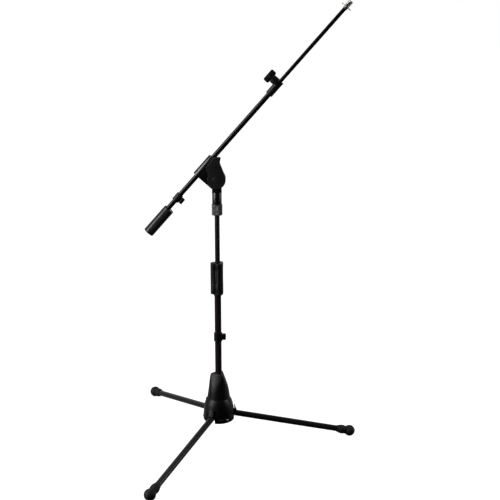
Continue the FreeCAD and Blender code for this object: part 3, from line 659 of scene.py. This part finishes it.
def threadedStud(name, node, place, low, high, plain):
    # a rolled wall that dips along a helix, on plain stretches of (low, high, radius)
    turns = (high - low) / thread["pitch"]
    heights = steps(low, high, int(turns * thread["perTurn"]))

    def wall(angle, height):
        phase = (height / thread["pitch"] - angle / math.tau) % 1
        dip = thread["depth"] * (1 - abs(phase - 0.5) * 2)
        start = min(1, (high - height) / 0.0015)
        return thread["radius"] - dip - (1 - start) * 0.0013

    bm = wrappedShape(48, heights, wall)
    for bottom, top, radius in plain:
        stretch = wrappedShape(48, (bottom, top), lambda angle, height: radius)
        mesh = bpy.data.meshes.new("stretch")
        stretch.to_mesh(mesh)
        stretch.free()
        bm.from_mesh(mesh)
        bpy.data.meshes.remove(mesh)
    standIn(name, bm, node, place, sharp=50)


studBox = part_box("column_stud")
threadedStud(
    "column_stud_threaded", "column_stud", columnFrame, 0.79, studBox[1].z, [(studBox[0].z, 0.79, 0.0068)])
threadedStud(
    "tip_stud_threaded", "tip_stud", boomFrame, 0.6545, 0.675,
    [(0.625, 0.645, 0.005), (0.645, 0.6545, 0.0075)])
softened("column_cable_clip", 0.0006)
print("column made")

# ---- head

softened("swivel_head", 0.001)
softened("boom_cradle_near", 0.001)
softened("boom_cradle_far", 0.001)
softened("boom_liner", 0)
softened("friction_washers", 0)
softened("pivot_bolt", 0.0007)
softened("lever_thrust_washer", 0)
softened("lever_nut", 0)
softened("lever_cap", 0.0004, finish=finishes["cast_lever"])

lever = {
    "disc": 0.0285, "back": 0.0155, "front": 0.0275, "edge": 0.0034, "corner": 0.004, "discFrom": 12,
    "discTo": -190,
    "arm": ((-0.0258, 0.0137), (-0.032, 0.04), (-0.012, 0.068), (-0.005, 0.0715), (0.014, 0.072),
            (0.0106, 0.054), (0.024, 0.02)),
    "ribs": 4, "ribStart": -0.0215, "ribGap": 0.0085, "ribLow": 0.037, "ribDeep": 0.0005,
}


def leverShape():
    # the disc's arc and the arm's corners as one face, thickened and bevelled
    bm = bmesh.new()
    count = 60
    outline = []
    for index in range(count + 1):
        angle = math.radians(lever["discFrom"] + (lever["discTo"] - lever["discFrom"]) * index / count)
        outline.append((lever["disc"] * math.cos(angle), lever["disc"] * math.sin(angle)))
    outline += lever["arm"]
    face = bm.faces.new([bm.verts.new((across, -lever["back"], up)) for across, up in outline])
    pushed = bmesh.ops.extrude_face_region(bm, geom=[face])["geom"]
    moved = [item for item in pushed if isinstance(item, bmesh.types.BMVert)]
    bmesh.ops.translate(bm, verts=moved, vec=(0, lever["back"] - lever["front"], 0))
    corners = [edge for edge in bm.edges if abs(edge.verts[0].co.y - edge.verts[1].co.y) > 0.005]
    corners = [edge for edge in corners if edge.calc_face_angle(0) > math.radians(12)]
    bmesh.ops.bevel(
        bm, geom=corners, offset=lever["corner"], offset_type="OFFSET", segments=5, profile=0.5,
        affect="EDGES",
        clamp_overlap=True, material=-1)
    roundEdges(bm, lever["edge"], segments=4, above=60)
    return bm


def leverRibs():
    # low ribs up the arm
    bm = bmesh.new()
    for index in range(lever["ribs"]):
        across = lever["ribStart"] + lever["ribGap"] * index
        top = 0.0605 + min(0, across + 0.008) * 1.3
        made = boxShape(
            bm, (across - 0.001, -lever["front"] - lever["ribDeep"], lever["ribLow"]),
            (across + 0.001, -lever["front"] + 0.0005, top))
        edges = list({edge for vert in made for edge in vert.link_edges})
        bmesh.ops.bevel(
            bm, geom=edges, offset=0.0004, offset_type="OFFSET", segments=2, profile=0.5, affect="EDGES",
            clamp_overlap=True, material=-1)
    return bm


standIn("tilt_lever_plate", leverShape(), "tilt_lock_lever", pivotFrame)
settle("tilt_lever_ribs", leverRibs(), "tilt_lock_lever", pivotFrame)
print("head made")

# ---- boom

softened("outer_boom_tube", 0, finish=boomPowder)
softened("inner_boom_tube", 0, finish=boomPowder)
softened("inner_boom_guide", 0)
softened("counterweight", 0.0006, finish=weightPowder)
softened("counterweight_screw", 0.0004)
softened("boom_clamp_body", 0.0006)
softened("clamp_screw", 0)
softened("boom_cable_clip", 0.0006)
softened("clamp_wing_knob", 0.0026, above=50)
softened("tip_lock_ring", 0.0005)
print("boom made")

# ---- floor, lights and camera

floor = {"size": 30, "colour": (0.3, 0.3, 0.3), "glow": 0.97}


def makeFloor():
    bm = bmesh.new()
    bmesh.ops.create_grid(bm, x_segments=1, y_segments=1, size=floor["size"])
    mesh = bpy.data.meshes.new("paleFloor")
    bm.to_mesh(mesh)
    bm.free()
    plane = bpy.data.objects.new("paleFloor", mesh)
    bpy.context.scene.collection.objects.link(plane)
    finish = Finish("paleFloor")
    shade = finish.blend(finish.noise(3, 3), floor["colour"], [value * 0.985 for value in floor["colour"]])
    shader = finish.node("ShaderNodeBsdfPrincipled", inputs={
        "Base Color": shade, "Roughness": 0.75, "Emission Color": (1, 1, 1, 1),
        "Emission Strength": floor["glow"]})
    finish.node("ShaderNodeOutputMaterial", inputs={"Surface": shader})
    mesh.materials.append(finish.material)
    plane.visible_glossy = False
    plane.visible_diffuse = False


lamps = {
    "leftBox": {"place": (-2.2, -1.0, 1.5), "size": (0.6, 2.6), "power": 80, "aim": 0.75},
    "rightBox": {"place": (2.4, -0.1, 1.3), "size": (1.0, 2.2), "power": 22, "aim": 0.7},
    "topBox": {"place": (-0.2, 0.6, 3.2), "size": (2.2, 2.2), "power": 18, "aim": 0.5},
}


def makeLamps():
    for name, lamp in lamps.items():
        light = bpy.data.lights.new(name, "AREA")
        light.shape = "RECTANGLE"
        light.size, light.size_y = lamp["size"]
        light.energy = lamp["power"]
        shown = bpy.data.objects.new(name, light)
        shown.location = lamp["place"]
        aim = Vector((pivot.x, pivot.y, lamp["aim"])) - shown.location
        shown.rotation_euler = aim.to_track_quat("-Z", "Y").to_euler()
        bpy.context.scene.collection.objects.link(shown)


sweep = {"strength": 0.6, "from": 0.1, "to": 0.9, "dark": 0.015}


def makeWorld():
    # white to look at; reflections see a white sweep behind the stand and darkness in front of it
    world = bpy.data.worlds.new("studio")
    world.use_nodes = True
    nodes, links = world.node_tree.nodes, world.node_tree.links
    nodes.clear()
    path = nodes.new("ShaderNodeLightPath")
    seen = nodes.new("ShaderNodeBackground")
    seen.inputs["Strength"].default_value = 1.0
    seen.inputs["Color"].default_value = (1, 1, 1, 1)
    dim = nodes.new("ShaderNodeBackground")
    dim.inputs["Strength"].default_value = sweep["strength"]
    way = nodes.new("ShaderNodeTexCoord")
    parts = nodes.new("ShaderNodeSeparateXYZ")
    fade = nodes.new("ShaderNodeMapRange")
    for socket, value in ((1, sweep["from"]), (2, sweep["to"]), (3, sweep["dark"]), (4, 1.0)):
        fade.inputs[socket].default_value = value
    links.new(way.outputs["Generated"], parts.inputs[0])
    links.new(parts.outputs["Y"], fade.inputs[0])
    links.new(fade.outputs[0], dim.inputs["Color"])
    mix = nodes.new("ShaderNodeMixShader")
    out = nodes.new("ShaderNodeOutputWorld")
    links.new(path.outputs["Is Camera Ray"], mix.inputs[0])
    links.new(dim.outputs[0], mix.inputs[1])
    links.new(seen.outputs[0], mix.inputs[2])
    links.new(mix.outputs[0], out.inputs[0])
    bpy.context.scene.world = world
    bpy.context.scene.view_settings.view_transform = "Standard"


viewpoint = {"fromColumn": (0.1045, -2.8977, 1.4178), "pitch": 75.4, "lens": 67.25}


def makeCamera():
    data = bpy.data.cameras.new("camera")
    data.lens = viewpoint["lens"]
    data.sensor_width = 36
    camera = bpy.data.objects.new("camera", data)
    camera.location = Vector((pivot.x, pivot.y, 0)) + Vector(viewpoint["fromColumn"])
    camera.rotation_euler = (math.radians(viewpoint["pitch"]), 0, 0)
    bpy.context.scene.collection.objects.link(camera)
    bpy.context.scene.camera = camera


makeFloor()
makeLamps()
makeWorld()
makeCamera()
print("scene lit")
